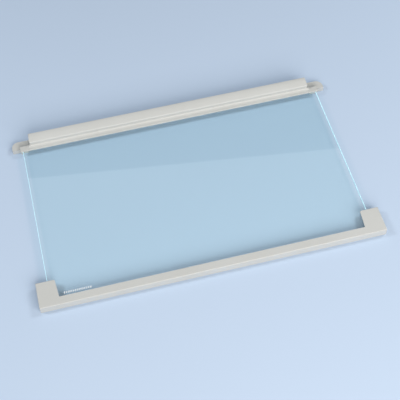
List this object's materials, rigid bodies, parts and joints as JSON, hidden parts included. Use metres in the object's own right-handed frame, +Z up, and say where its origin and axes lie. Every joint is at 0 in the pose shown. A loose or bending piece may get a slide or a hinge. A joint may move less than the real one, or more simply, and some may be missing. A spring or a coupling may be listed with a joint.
{
  "type": "refrigerator shelf",
  "caption": "Glass refrigerator shelf: a clear pane held by a moulded front trim with side arms and by a raised rear trim with lugs.",
  "frame": {"origin": "middle of the shelf's outline, on the surface that it rests on", "axes": "+X along the width to the right seen from the front, +Y from the front trim to the rear trim, +Z up"},
  "size_m": [0.474, 0.283, 0.022],
  "materials": {
    "glass": "clear toughened glass with ground edges",
    "trim": "satin moulding in off-white"
  },
  "bodies": {
    "root": {"glass_pane": "glass", "front_trim": "trim", "rear_trim": "trim"}
  },
  "joints": []
}
